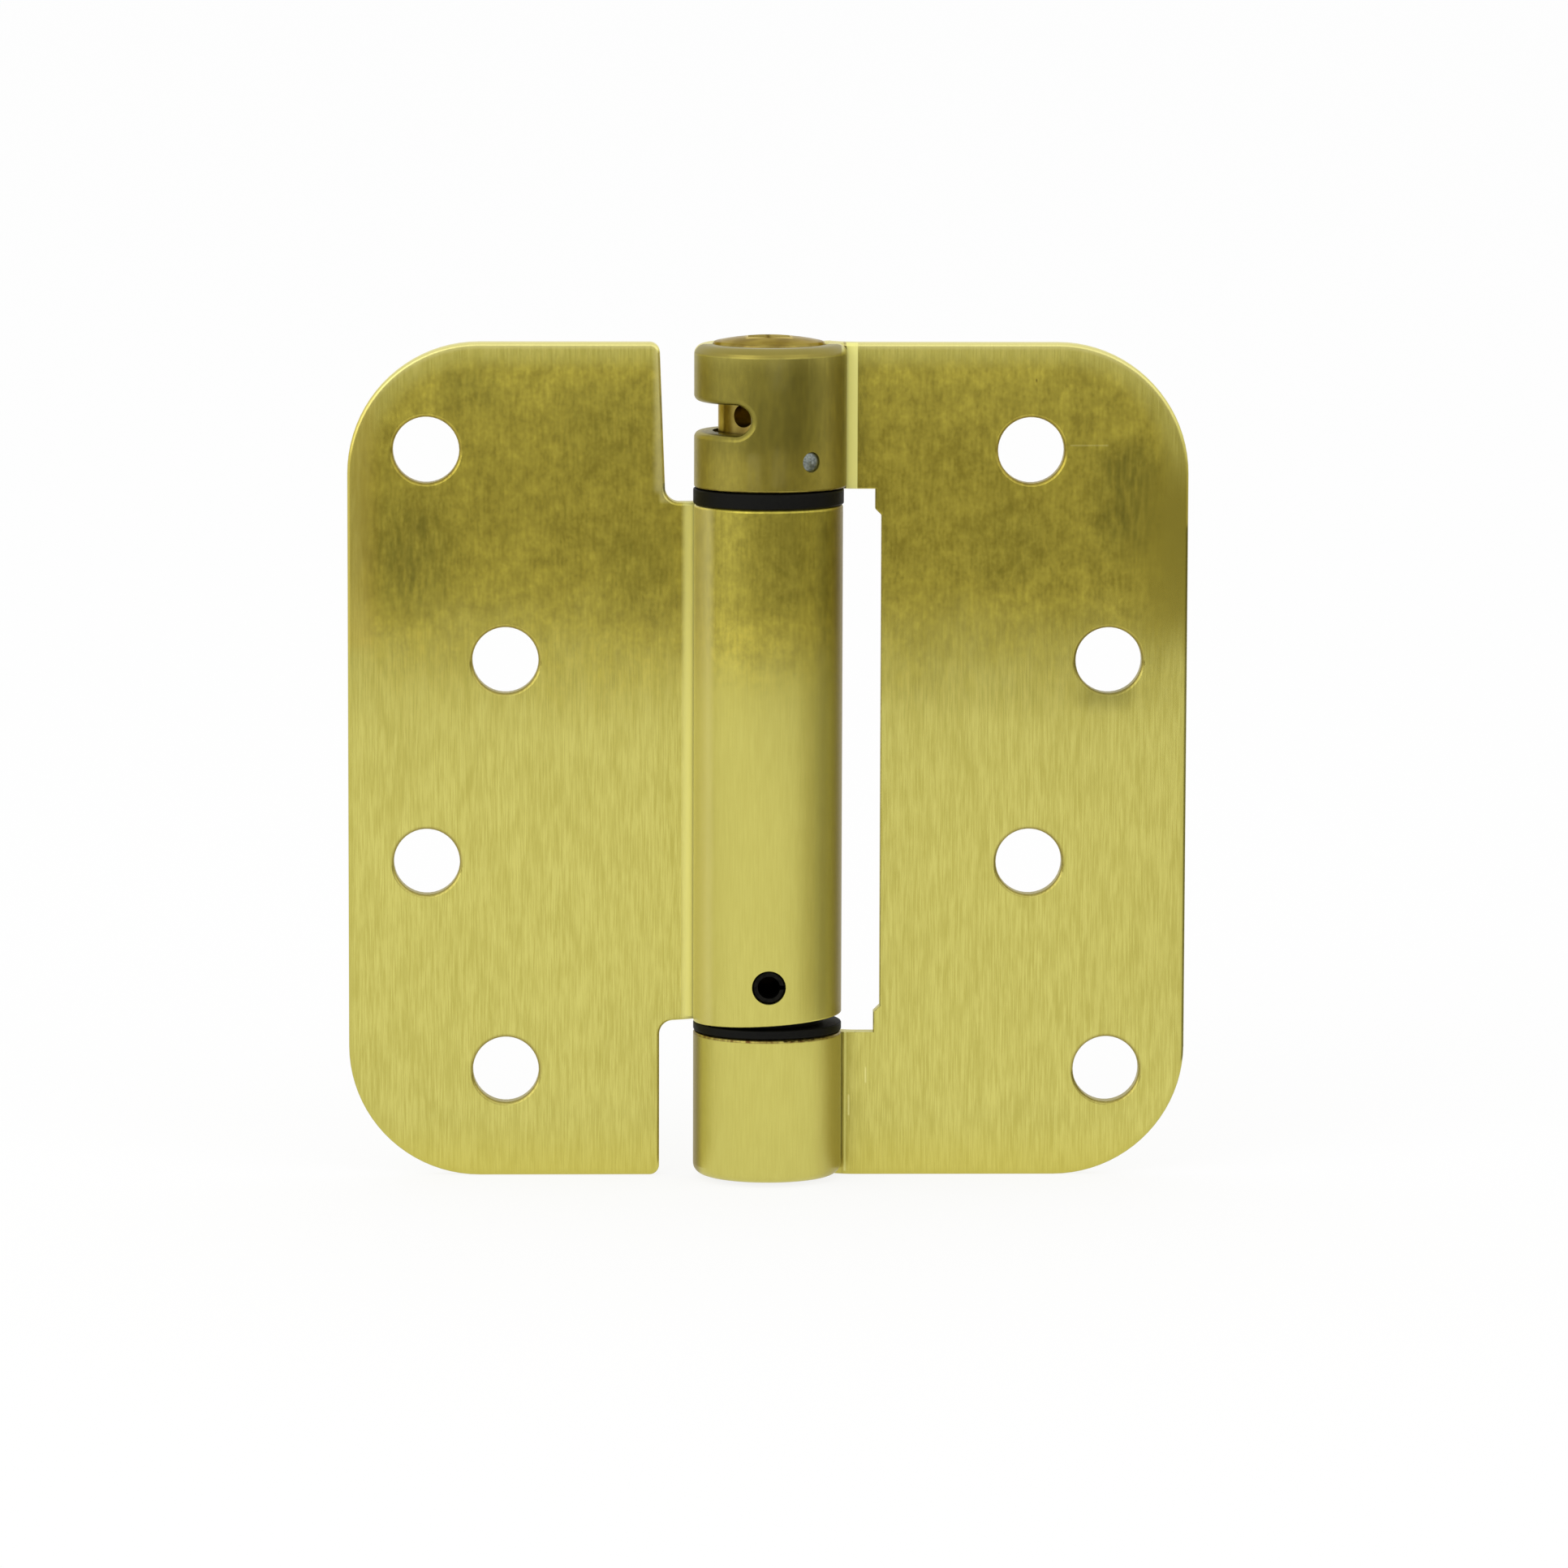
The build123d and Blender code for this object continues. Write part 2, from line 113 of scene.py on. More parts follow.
# %% Colour and node helpers
def hex_colour(text):
    """Linear RGBA of an sRGB hex colour such as #C4BE58."""
    shares = [int(text[i : i + 2], 16) / 255 for i in (1, 3, 5)]
    linear = [s / 12.92 if s <= 0.04045 else ((s + 0.055) / 1.055) ** 2.4 for s in shares]
    return (*linear, 1)


def add(tree, kind, inputs=None, **settings):
    """Add a node. An input is a value, a socket, or a node whose first live output is linked."""
    node = tree.nodes.new("ShaderNode" + kind)
    for field, value in settings.items():
        setattr(node, field, value)
    for socket, value in (inputs or {}).items():
        if isinstance(value, bpy.types.Node):
            value = next(output for output in value.outputs if output.enabled)
        if isinstance(value, bpy.types.NodeSocket):
            tree.links.new(value, node.inputs[socket])
        else:
            node.inputs[socket].default_value = value
    return node


def new_material(name):
    """An empty material and its node tree to fill."""
    material = bpy.data.materials.new(name)
    material.use_nodes = True
    material.node_tree.nodes.clear()
    return material, material.node_tree


# %% [markdown]
# ## Where things are on a leaf
#
# Toning and painted shade follow the shape. The darkened upper part, part tone and part painted
# reflection, stays paler along the stamped outline, and a brown line of painted shade runs round
# each screw hole. Both need a distance, and it could be painted on the vertices, but the CAD mesh
# has few of them, so it is worked out from the place on the leaf. The outline is a square with
# round corners, so its distance has the usual short formula. For the holes, the smallest of eight
# distances is kept.

# %% Distances on a leaf
LEAF = 101.6 * MM
CORNER = 15.875 * MM
HOLE_RADIUS = 4.0 * MM
HOLE_HEIGHTS = (88.6, 63.1, 38.5, 13.0)
# How far each hole is from the pin, from the top down, on the left and on the right leaf.
HOLE_COLUMNS = {-1: (41.3, 31.75, 41.3, 31.75), 1: (31.75, 41.3, 31.75, 41.3)}
HOLES = [
    Vector((side * across, 0, up)) * MM
    for side, columns in HOLE_COLUMNS.items()
    for across, up in zip(columns, HOLE_HEIGHTS)
]
print("screw holes:", len(HOLES))


def outline_distance(tree, place):
    """Distance from the outline of the open hinge, inwards."""
    centred = add(tree, "VectorMath", {0: place, 1: (0, 0, LEAF / 2)}, operation="SUBTRACT")
    folded = add(tree, "VectorMath", {0: centred}, operation="ABSOLUTE")
    straight = LEAF / 2 - CORNER
    # The whole metre taken off Y leaves the depth out of the distance.
    past = add(tree, "VectorMath", {0: folded, 1: (straight, 1, straight)}, operation="SUBTRACT")
    corner = add(tree, "VectorMath", {0: past, 1: (0, 0, 0)}, operation="MAXIMUM")
    round_part = add(tree, "VectorMath", {0: corner}, operation="LENGTH")
    sides = add(tree, "SeparateXYZ", {0: past})
    flat_part = add(tree, "Math", {0: sides.outputs[0], 1: sides.outputs[2]}, operation="MAXIMUM")
    inside = add(tree, "Math", {0: flat_part, 1: 0.0}, operation="MINIMUM")
    signed = add(tree, "Math", {0: round_part.outputs["Value"], 1: inside}, operation="ADD")
    return add(tree, "Math", {0: CORNER, 1: signed}, operation="SUBTRACT")


def hole_distance(tree, place):
    """Distance from the rim of the nearest screw hole."""
    flat = add(tree, "VectorMath", {0: place, 1: (1, 0, 1)}, operation="MULTIPLY")
    nearest = LEAF  # farther than any rim can be
    for hole in HOLES:
        far = add(tree, "VectorMath", {0: flat, 1: hole}, operation="DISTANCE")
        nearest = add(tree, "Math", {0: nearest, 1: far.outputs["Value"]}, operation="MINIMUM")
    return add(tree, "Math", {0: nearest, 1: HOLE_RADIUS}, operation="SUBTRACT")


# %% [markdown]
# ## Satin brass
#
# The leaves are brass-finished sheet, brushed along the pin with a grinding belt and lacquered. To
# the eye that is a soft upright sheen with no clear mirror image. A picture of brushed metal could
# be wrapped round them, but a noise stretched along Z keeps the grain at one size on every face.
# The belt's scratches are only a few hundredths of a millimetre wide, too fine to show, so they are
# drawn 0.15 mm wide. Wider blotches under them stand for scratches that lie close together. Brushed
# metal blurs what it mirrors across the grain and hardly along it, so the shader is anisotropic and
# its tangent lies across the pin. The lacquer scatters part of the light, so the metallic value is
# a little under one.

# %% Colours of the brass
PALE_BRASS = hex_colour("#D3CB6E")
WARM_BRASS = hex_colour("#BEB558")
OLIVE_BRASS = hex_colour("#CDBF4E")
DEEP_BRASS = hex_colour("#A19438")
GOLDEN_BRASS = hex_colour("#C9AA40")
KNUCKLE_BRASS = hex_colour("#8A7D36")
# A painted highlight for the bends beside the rolls.
BEND_HIGHLIGHT_BRASS = hex_colour("#F0EB8E")
BRIGHT_BRASS = hex_colour("#FCF4AC")
# Olive for real stains on the leaves, and for painted shade on the barrel and upper knuckle.
OLIVE_STAIN_AND_SHADE = hex_colour("#6B6626")
GOLDEN_BROWN = hex_colour("#7A661E")
BROWN = hex_colour("#5E3D12")


# %% Noise and soft boxes
def stretched_noise(tree, place, width, length, detail, roughness=0.55):
    """Noise with cells of this width across the pin and this length along it.

    Its values lie mostly between 0.3 and 0.7, so a Map Range spreads them out where it is used.
    """
    scaled = add(tree, "Mapping", {"Vector": place, "Scale": (1 / width, 1 / width, 1 / length)})
    return add(
        tree, "TexNoise", {"Vector": scaled, "Scale": 1.0, "Detail": detail, "Roughness": roughness}
    )


def inside_box(tree, place, low, high, soft):
    """1 inside a box, falling to 0 over a soft width outside it. All sizes are in millimetres."""
    low, high = Vector(low) * MM, Vector(high) * MM
    centred = add(tree, "VectorMath", {0: place, 1: (low + high) / 2}, operation="SUBTRACT")
    folded = add(tree, "VectorMath", {0: centred}, operation="ABSOLUTE")
    past = add(tree, "VectorMath", {0: folded, 1: (high - low) / 2}, operation="SUBTRACT")
    outside = add(tree, "VectorMath", {0: past, 1: (0, 0, 0)}, operation="MAXIMUM")
    far = add(tree, "VectorMath", {0: outside}, operation="LENGTH").outputs["Value"]
    return add(
        tree,
        "MapRange",
        {"Value": far, "From Max": soft * MM, "To Min": 1.0, "To Max": 0.0},
        interpolation_type="SMOOTHSTEP",
    )


# %% Brushed grain
GRAIN_WIDTH, GRAIN_LENGTH = 0.15 * MM, 4 * MM
BLOTCH_WIDTH, BLOTCH_LENGTH = 1.2 * MM, 4 * MM
BLOTCH_WEIGHT = 0.5  # beside the grain's weight of 1
ROLLS = ((-9.4, -10, 0), (9.4, 0, 102), 0.3)  # front of barrel and knuckles, and soft width, in mm
PRESSED_FLAT = 0.65  # share of the grain that rolling takes away
print("grain:", GRAIN_WIDTH / MM, "by", GRAIN_LENGTH / MM, "mm")


def brushed_lines(tree, place, grain):
    """Share of pale brass: the grain with its blotches, fainter where the sheet is rolled."""
    blotches = stretched_noise(tree, place, BLOTCH_WIDTH, BLOTCH_LENGTH, detail=3)
    both = add(tree, "Math", {0: blotches, 1: BLOTCH_WEIGHT, 2: grain}, operation="MULTIPLY_ADD")
    lines = add(
        tree,
        "MapRange",
        {"Value": both, "From Min": 0.5, "From Max": 1.0},
        interpolation_type="SMOOTHSTEP",
    )
    rolled = inside_box(tree, place, *ROLLS)
    flattened = add(tree, "Math", {0: rolled, 1: PRESSED_FLAT}, operation="MULTIPLY")
    return add(tree, "Mix", {0: flattened, 2: lines, 3: 0.5}, data_type="FLOAT")


# %% [markdown]
# ## Toning and painted reflection
#
# The upper third of the brass is darker. This is partly olive tone under its lacquer and partly a
# painted reflection of the dark surroundings, in soft clouds with fine upright streaks, but hardly
# near the stamped outline. Each leaf could have its own painted mask, but the darkening crosses
# leaves and barrel alike, so the height of a point decides. One noise makes that border wander, and
# two more choose between a lighter and a deeper brass.

# %% Darkened upper third, part tone and part painted reflection
DARK_LOW, DARK_HIGH = 54 * MM, 74 * MM
DARK_WANDER = 16 * MM
DRIFT = 14 * MM
PALE_EDGE, FULL_DARK = 0.5 * MM, 3.8 * MM  # distances from the outline
DARK_AT_EDGE = 0.1
CLOUD_WIDTH, CLOUD_LENGTH = 1.8 * MM, 2.16 * MM
STREAK_WIDTH, STREAK_LENGTH = 0.4 * MM, 3 * MM
STREAK_WEIGHT = 0.4  # beside the clouds' weight of 1
print("toned from", DARK_LOW / MM, "to", DARK_HIGH / MM, "mm up, and above")


def darkened_share(tree, place, edge):
    """How far the brass is darkened, part tone and part painted reflection: only the upper part, up
    to near the outline.
    """
    height = add(tree, "SeparateXYZ", {0: place}).outputs[2]
    drift = stretched_noise(tree, place, DRIFT, DRIFT, detail=3)
    wander = add(tree, "Math", {0: drift, 1: DARK_WANDER, 2: height}, operation="MULTIPLY_ADD")
    # The noise is 0.5 on average, so the border is raised by half of its wander.
    low, high = DARK_LOW + DARK_WANDER / 2, DARK_HIGH + DARK_WANDER / 2
    toned = add(
        tree,
        "MapRange",
        {"Value": wander, "From Min": low, "From Max": high},
        interpolation_type="SMOOTHSTEP",
    )
    away = add(
        tree,
        "MapRange",
        {"Value": edge, "From Min": PALE_EDGE, "From Max": FULL_DARK, "To Min": DARK_AT_EDGE},
        interpolation_type="SMOOTHSTEP",
    )
    return add(tree, "Math", {0: toned, 1: away}, operation="MULTIPLY")


def darkened_colour(tree, place):
    """Colour of the darkened brass, part tone and part painted reflection: clouds, with fine upright
    streaks among them.
    """
    clouds = stretched_noise(tree, place, CLOUD_WIDTH, CLOUD_LENGTH, detail=6, roughness=0.75)
    streaks = stretched_noise(tree, place, STREAK_WIDTH, STREAK_LENGTH, detail=3)
    both = add(tree, "Math", {0: streaks, 1: STREAK_WEIGHT, 2: clouds}, operation="MULTIPLY_ADD")
    share = add(tree, "MapRange", {"Value": both, "From Min": 0.52, "From Max": 0.88})
    return add(tree, "Mix", {0: share, 6: DEEP_BRASS, 7: OLIVE_BRASS}, data_type="RGBA")


# %% [markdown]
# ## Marks at single places
#
# Some marks belong to one place: a painted highlight on the bend beside a roll, painted shade in a
# crease, an olive stain, a scratch. They could be painted by hand, but a table is easier to read
# and to change. Each row is a soft box in millimetres with a colour and a strength, and a patchy
# noise breaks up some of them. The bends are also less mirror-like than brushed metal, so they have
# a table and a mask of their own.

# %% Bends with a painted highlight
# Lowest corner, highest corner, soft width, strength: beside the barrel and the two knuckles.
BENDS = [
    ((-9.8, 0.2, 19.6), (-9.0, 2.4, 82.2), 0.9, 0.6),
    ((9.45, 0.2, 60), (10.7, 2.6, 103), 0.1, 1.0),
    ((9.45, -1, 0.5), (9.6, 2.6, 17.5), 0.12, 0.8),
]


def bend_highlights(tree, place):
    """Where the sheet bends beside a roll, which gets a painted highlight."""
    share = 0.0
    for low, high, soft, strength in BENDS:
        inside = inside_box(tree, place, low, high, soft)
        weight = add(tree, "Math", {0: inside, 1: strength}, operation="MULTIPLY")
        share = add(tree, "Math", {0: share, 1: weight}, operation="MAXIMUM")
    return share


# %% Even marks
# Lowest corner, highest corner, soft width, colour, strength. A later row lies on an earlier one.
EVEN_MARKS = [
    # Deeper brass at the right edge, warmer brass along the bottom and the upper left edge.
    ((50, -1, 70), (54, 1.6, 82), 9, DEEP_BRASS, 0.9),
    ((-54, -1, -4), (54, 1.6, 0), 8, OLIVE_BRASS, 0.4),
    ((-54, -1, 66), (-49, 1.6, 96), 3, GOLDEN_BRASS, 0.25),
    # Painted shade under a screw hole and at the top of the barrel.
    ((39.5, -1, 59.0), (42.5, 1.6, 59.4), 3, OLIVE_STAIN_AND_SHADE, 0.4),
    ((-6, -10, 72), (9, 0, 83), 5, OLIVE_STAIN_AND_SHADE, 0.25),
    # The upper knuckle is darkened all over as painted shade, most of all on its top edge, and has
    # olive painted shade in front.
    ((-9.3, -10, 84.6), (9.3, 9.3, 100.4), 0.6, KNUCKLE_BRASS, 0.6),
    ((-9.2, -9.3, 100.6), (8.6, -1, 102), 0.2, KNUCKLE_BRASS, 0.9),
    ((-1, -10, 91), (5, 0, 98), 3, OLIVE_STAIN_AND_SHADE, 0.4),
    ((-6.5, -10, 90), (-3, 0, 99), 2, OLIVE_STAIN_AND_SHADE, 0.25),
    # The barrel has a painted highlight on its left and painted shade on its right.
    ((-9.4, -6, 19.6), (-7.6, 0.5, 82.2), 1.2, BRIGHT_BRASS, 0.5),
    ((8.6, -6, 19.6), (9.4, 3, 82.2), 1.6, GOLDEN_BROWN, 0.75),
    # Painted highlights on the left leaf's edges, round the space for the upper knuckle.
    ((-13.2, -1, 84), (-12.5, 1.8, 101), 1.0, BRIGHT_BRASS, 0.45),
    ((-12.8, -1, 82.6), (-9.5, 1.8, 83.2), 0.6, BRIGHT_BRASS, 0.35),
    # Painted shade in the creases beside the upper knuckle, the lower knuckle and the barrel.
    ((9.1, -1, 84), (9.25, 2.6, 102), 0.15, BROWN, 0.4),
    ((9.1, -1, 0), (9.3, 2.6, 18), 0.1, BROWN, 0.15),
    ((-8.7, -2, 19.6), (-8.55, 2.6, 82.2), 0.12, BROWN, 0.25),
    # Painted shade on both sides of the lower knuckle.
    ((-9.4, -5, 0), (-8.7, 9, 18.1), 0.9, GOLDEN_BROWN, 0.75),
    ((8.5, -7, 0), (9.4, -2, 18.1), 3.5, GOLDEN_BROWN, 0.45),
    # Scratches on the right leaf.
    ((36.5, -1, 89.2), (41.0, 1.6, 89.25), 0.1, BRIGHT_BRASS, 0.25),
    ((9.95, -1, 7.4), (10.0, 1.6, 9.8), 0.15, BRIGHT_BRASS, 0.5),
    ((12.0, -1, 11.4), (12.05, 1.6, 13.2), 0.12, BRIGHT_BRASS, 0.4),
]
print("even marks:", len(EVEN_MARKS))

# %% Patchy marks
# The same columns.
PATCHY_MARKS = [
    # Olive painted shade and three painted highlights on the front of the upper knuckle.
    ((-5, -10, 90), (8.8, 0, 98), 5, OLIVE_STAIN_AND_SHADE, 0.7),
    ((-2.1, -10, 85), (-1.8, 0, 88.5), 1.0, BRIGHT_BRASS, 0.25),
    ((0.8, -10, 85.5), (1.2, 0, 89), 1.2, BRIGHT_BRASS, 0.2),
    ((0.5, -10, 97.5), (1.5, 0, 99.5), 1.6, BRIGHT_BRASS, 0.2),
    # Stains on the left leaf.
    ((-45, -1, 73), (-42, 1.6, 79), 7, OLIVE_STAIN_AND_SHADE, 0.6),
    ((-16, -1, 72), (-14, 1.6, 76), 7, OLIVE_STAIN_AND_SHADE, 0.35),
    ((-37, -1, 96), (-35, 1.6, 96.5), 4.5, OLIVE_STAIN_AND_SHADE, 0.4),
    ((-21, -1, 90), (-18, 1.6, 93), 7, OLIVE_STAIN_AND_SHADE, 0.3),
    # Stains on the right leaf.
    ((43, -1, 80), (44, 1.6, 86), 6, OLIVE_STAIN_AND_SHADE, 0.7),
    ((28, -1, 76), (30, 1.6, 78), 6, OLIVE_STAIN_AND_SHADE, 0.3),
    ((18, -1, 60), (46, 1.6, 66), 5, OLIVE_STAIN_AND_SHADE, 0.15),
    # Painted shade on the knuckles' edges beside the bushes.
    ((-9.3, -10, 84.3), (9.3, 9.3, 84.45), 0.15, BROWN, 1.0),
    ((-9.3, -10, 17.8), (9.3, 9.3, 18.1), 0.2, BROWN, 1.0),
]
PATCH_WIDTH, PATCH_LENGTH = 0.7 * MM, 3 * MM
print("patchy marks:", len(PATCHY_MARKS))


def patchy(tree, place):
    """Noise that breaks a stain or a painted shade up into upright strokes."""
    noise = stretched_noise(tree, place, PATCH_WIDTH, PATCH_LENGTH, detail=4)
    return add(
        tree, "MapRange", {"Value": noise, "From Min": 0.35, "From Max": 0.65, "To Min": 0.3}
    )


def lay_marks(tree, place, colour, marks, broken_by=1.0):
    """Lay a table of marks over a colour."""
    for low, high, soft, paint, strength in marks:
        inside = inside_box(tree, place, low, high, soft)
        weight = add(tree, "Math", {0: inside, 1: strength}, operation="MULTIPLY")
        share = add(tree, "Math", {0: weight, 1: broken_by}, operation="MULTIPLY")
        colour = add(tree, "Mix", {0: share, 6: colour, 7: paint}, data_type="RGBA")
    return colour


# %% Specks, rims and outline
# A mark is strongest up to the first of its two distances, and gone at the second.
SPECK_SPACING = 6 * MM
SPECK_CORE, SPECK_EDGE = 0.08 * MM, 0.15 * MM
SPECK_STRENGTH = 0.6
# The brown rim round each screw hole is painted shade of the hole's wall.
RIM_CORE, RIM_EDGE = 0.1 * MM, 0.5 * MM
RIM_STRENGTH = 0.45
OUTLINE_CORE, OUTLINE_EDGE = 0.3 * MM, 0.9 * MM
OUTLINE_STRENGTH = 0.5
# Between these heights the outline gets a painted highlight.
BRIGHT_LOW, BRIGHT_HIGH = 88 * MM, 100 * MM  # heights between which the outline brightens


def specks(tree, place):
    """A few dark specks, each about a fifth of a millimetre across and twice as long."""
    scale = Vector((1, 1, 0.5)) / SPECK_SPACING
    scaled = add(tree, "Mapping", {"Vector": place, "Scale": scale})
    spots = add(tree, "TexVoronoi", {"Vector": scaled, "Scale": 1.0}).outputs["Distance"]
    core, edge = SPECK_CORE / SPECK_SPACING, SPECK_EDGE / SPECK_SPACING
    fade = {"Value": spots, "From Min": edge, "From Max": core, "To Max": SPECK_STRENGTH}
    return add(tree, "MapRange", fade)


def specks_and_painted_edges(tree, place, edge):
    """Share and colour of the painted shade round the holes, of the specks, and of the warm band and
    painted highlight along the outline, lowest layer first.
    """
    rim = add(
        tree,
        "MapRange",
        {
            "Value": hole_distance(tree, place),
            "From Min": RIM_EDGE,
            "From Max": RIM_CORE,
            "To Max": RIM_STRENGTH,
        },
        interpolation_type="SMOOTHSTEP",
    )
    outline = add(
        tree,
        "MapRange",
        {
            "Value": edge,
            "From Min": OUTLINE_EDGE,
            "From Max": OUTLINE_CORE,
            "To Max": OUTLINE_STRENGTH,
        },
    )
    height = add(tree, "SeparateXYZ", {0: place}).outputs[2]
    upper = add(
        tree, "MapRange", {"Value": height, "From Min": BRIGHT_LOW, "From Max": BRIGHT_HIGH}
    )
    bright = add(tree, "Math", {0: outline, 1: upper}, operation="MULTIPLY")
    rim_shade_and_specks = [(rim, BROWN), (specks(tree, place), BROWN)]
    return [*rim_shade_and_specks, (outline, WARM_BRASS), (bright, BRIGHT_BRASS)]


# %% Satin brass
SCRATCH_DEPTH = 0.003 * MM
BRUSHED_METALLIC, BEND_METALLIC = 0.8, 0.15
PIN_AXIS = (0.001, 0, 1)  # tipped a little, so that faces that look up have a tangent too


def tangent_across(tree, direction):
    """Unit vector in the surface, at a right angle to a direction."""
    normal = add(tree, "NewGeometry").outputs["Normal"]
    across = add(tree, "VectorMath", {0: normal, 1: direction}, operation="CROSS_PRODUCT")
    return add(tree, "VectorMath", {0: across}, operation="NORMALIZE")


def satin_brass():
    material, tree = new_material("satin_brass")
    place = add(tree, "TexCoord").outputs["Object"]
    edge = outline_distance(tree, place)
    grain = stretched_noise(tree, place, GRAIN_WIDTH, GRAIN_LENGTH, detail=3)
    lines = brushed_lines(tree, place, grain)
    colour = add(tree, "Mix", {0: lines, 6: WARM_BRASS, 7: PALE_BRASS}, data_type="RGBA")
    # The darkened upper third is part tone and part painted reflection. The hole rims are painted
    # shade, and the top of the outline is a painted highlight.
    darkening = (darkened_share(tree, place, edge), darkened_colour(tree, place))
    for share, above in [darkening, *specks_and_painted_edges(tree, place, edge)]:
        colour = add(tree, "Mix", {0: share, 6: colour, 7: above}, data_type="RGBA")
    colour = lay_marks(tree, place, colour, PATCHY_MARKS, patchy(tree, place))
    colour = lay_marks(tree, place, colour, EVEN_MARKS)
    # The bends get a painted highlight and a lower metallic value.
    bend_highlight_share = bend_highlights(tree, place)
    colour = add(tree, "Mix", {0: bend_highlight_share, 6: colour, 7: BEND_HIGHLIGHT_BRASS}, data_type="RGBA")
    shader = {
        "Base Color": colour,
        "Metallic": add(
            tree, "MapRange", {"Value": bend_highlight_share, "To Min": BRUSHED_METALLIC, "To Max": BEND_METALLIC}
        ),
        "Roughness": 0.24,
        "Anisotropic": 1.0,
        "Normal": add(tree, "Bump", {"Height": grain, "Strength": 1.0, "Distance": SCRATCH_DEPTH}),
        "Tangent": tangent_across(tree, PIN_AXIS),
    }
    add(tree, "OutputMaterial", {"Surface": add(tree, "BsdfPrincipled", shader)})
    print(material.name, "has", len(tree.nodes), "nodes")
    return material


finishes = {"satin_brass": satin_brass()}

# %% [markdown]
# ## Turned bronze
#
# The tension adjuster and the spring's anchor are turned from bronze bar on a lathe, and have toned
# to olive. To the eye they are darker and warmer than the leaves, with a sheen that runs round
# their rings. A noise in radius and height gives the rings. Real ones are about a tenth of a
# millimetre apart, too fine to show, so they are drawn 0.18 mm wide. A second, softer noise mottles
# the colour, and the tangent lies across the rings. The hex socket gets a painted highlight, the
# head's rim gets painted shade at its two sides, and the anchor gets painted shade where it shows
# behind the hollow pin.

# %% Turned bronze
DARK_BRONZE, LIGHT_BRONZE = hex_colour("#7C6832"), hex_colour("#A39149")
SOCKET_HIGHLIGHT_BRONZE, PIN_HOLE_SHADE_BRONZE = hex_colour("#D9C878"), hex_colour("#140E08")
BRONZE_TINT = (0.75, 0.65, 0.4, 1)
RING_WIDTH, RING_DEPTH = 0.18 * MM, 0.004 * MM
MOTTLE = 2.5 * MM
PLUG_MARKS = [
    # A painted highlight in the hex socket, painted shade at the two sides of the head's rim, and
    # painted shade on the anchor behind the hollow pin.
    ((-2.6, -2.6, 97), (2.6, 2.6, 103), 0.4, SOCKET_HIGHLIGHT_BRONZE, 0.9),
    ((-7.6, -7.6, 101), (-6.0, 7.6, 102), 0.3, BROWN, 0.5),
    ((6.0, -7.6, 101), (7.6, 7.6, 102), 0.3, BROWN, 0.5),
    ((-2, -8, 18), (2, 5, 26), 0.5, PIN_HOLE_SHADE_BRONZE, 1.0),
]


def lathe_rings(tree, place):
    """Noise that depends on radius and height alone, as a lathe tool leaves it."""
    flat = add(tree, "VectorMath", {0: place, 1: (1, 1, 0)}, operation="MULTIPLY")
    radius = add(tree, "VectorMath", {0: flat}, operation="LENGTH").outputs["Value"]
    height = add(tree, "SeparateXYZ", {0: place}).outputs[2]
    lathe = add(tree, "CombineXYZ", {0: radius, 2: height})
    return stretched_noise(tree, lathe, RING_WIDTH, RING_WIDTH, detail=2)


def turned_bronze():
    material, tree = new_material("turned_bronze")
    place = add(tree, "TexCoord").outputs["Object"]
    mottle = stretched_noise(tree, place, MOTTLE, MOTTLE, detail=4)
    share = add(
        tree,
        "MapRange",
        {"Value": mottle, "From Min": 0.3, "From Max": 0.7},
        interpolation_type="SMOOTHSTEP",
    )
    colour = add(tree, "Mix", {0: share, 6: DARK_BRONZE, 7: LIGHT_BRONZE}, data_type="RGBA")
    rings = lathe_rings(tree, place)
    around = add(tree, "VectorMath", {0: (0, 0, 1), 1: place}, operation="CROSS_PRODUCT")
    shader = {
        "Base Color": lay_marks(tree, place, colour, PLUG_MARKS),
        "Metallic": 1.0,
        "Roughness": 0.28,
        "Specular Tint": BRONZE_TINT,
        "Anisotropic": 0.7,
        "Normal": add(tree, "Bump", {"Height": rings, "Strength": 1.0, "Distance": RING_DEPTH}),
        "Tangent": tangent_across(tree, around),
    }
    add(tree, "OutputMaterial", {"Surface": add(tree, "BsdfPrincipled", shader)})
    print(material.name, "has", len(tree.nodes), "nodes")
    return material


finishes["turned_bronze"] = turned_bronze()

# %% [markdown]
# ## Nylon and steel
#
# The two bushes are injection-moulded nylon, black right through, which gives a dull skin that
# hardly mirrors. The retaining pin is plain drawn steel with a smooth round end that glints. The
# anchor pin is rolled from spring steel and blackened in oil, so it is almost black with a weak
# shine. The spring is hard-drawn steel wire under a film of oil, an even mid grey. All four vary
# only softly, so one function makes them: a noise leads from a darker to a lighter colour, and from
# a smoother to a rougher skin. The real skins vary more finely than can show, so the noise is drawn
# 0.3 to 0.5 mm wide.

# %% Nylon and steel
# Darker and lighter colour, lowest and highest roughness, cell, and what is even on the shader.
METAL, WEAK_GLOSS = {"Metallic": 1.0}, {"Specular IOR Level": 0.1}
MOTTLED = {
    "black_nylon": ("#080806", "#0D0D0A", 0.5, 0.65, 0.4 * MM, WEAK_GLOSS),
    "bright_steel": ("#676D69", "#8D938F", 0.3, 0.4, 0.3 * MM, METAL),
    "blackened_steel": ("#141412", "#1F1E1B", 0.4, 0.55, 0.4 * MM, METAL),
    "spring_steel": ("#4A4A48", "#62605C", 0.3, 0.45, 0.5 * MM, METAL),
}


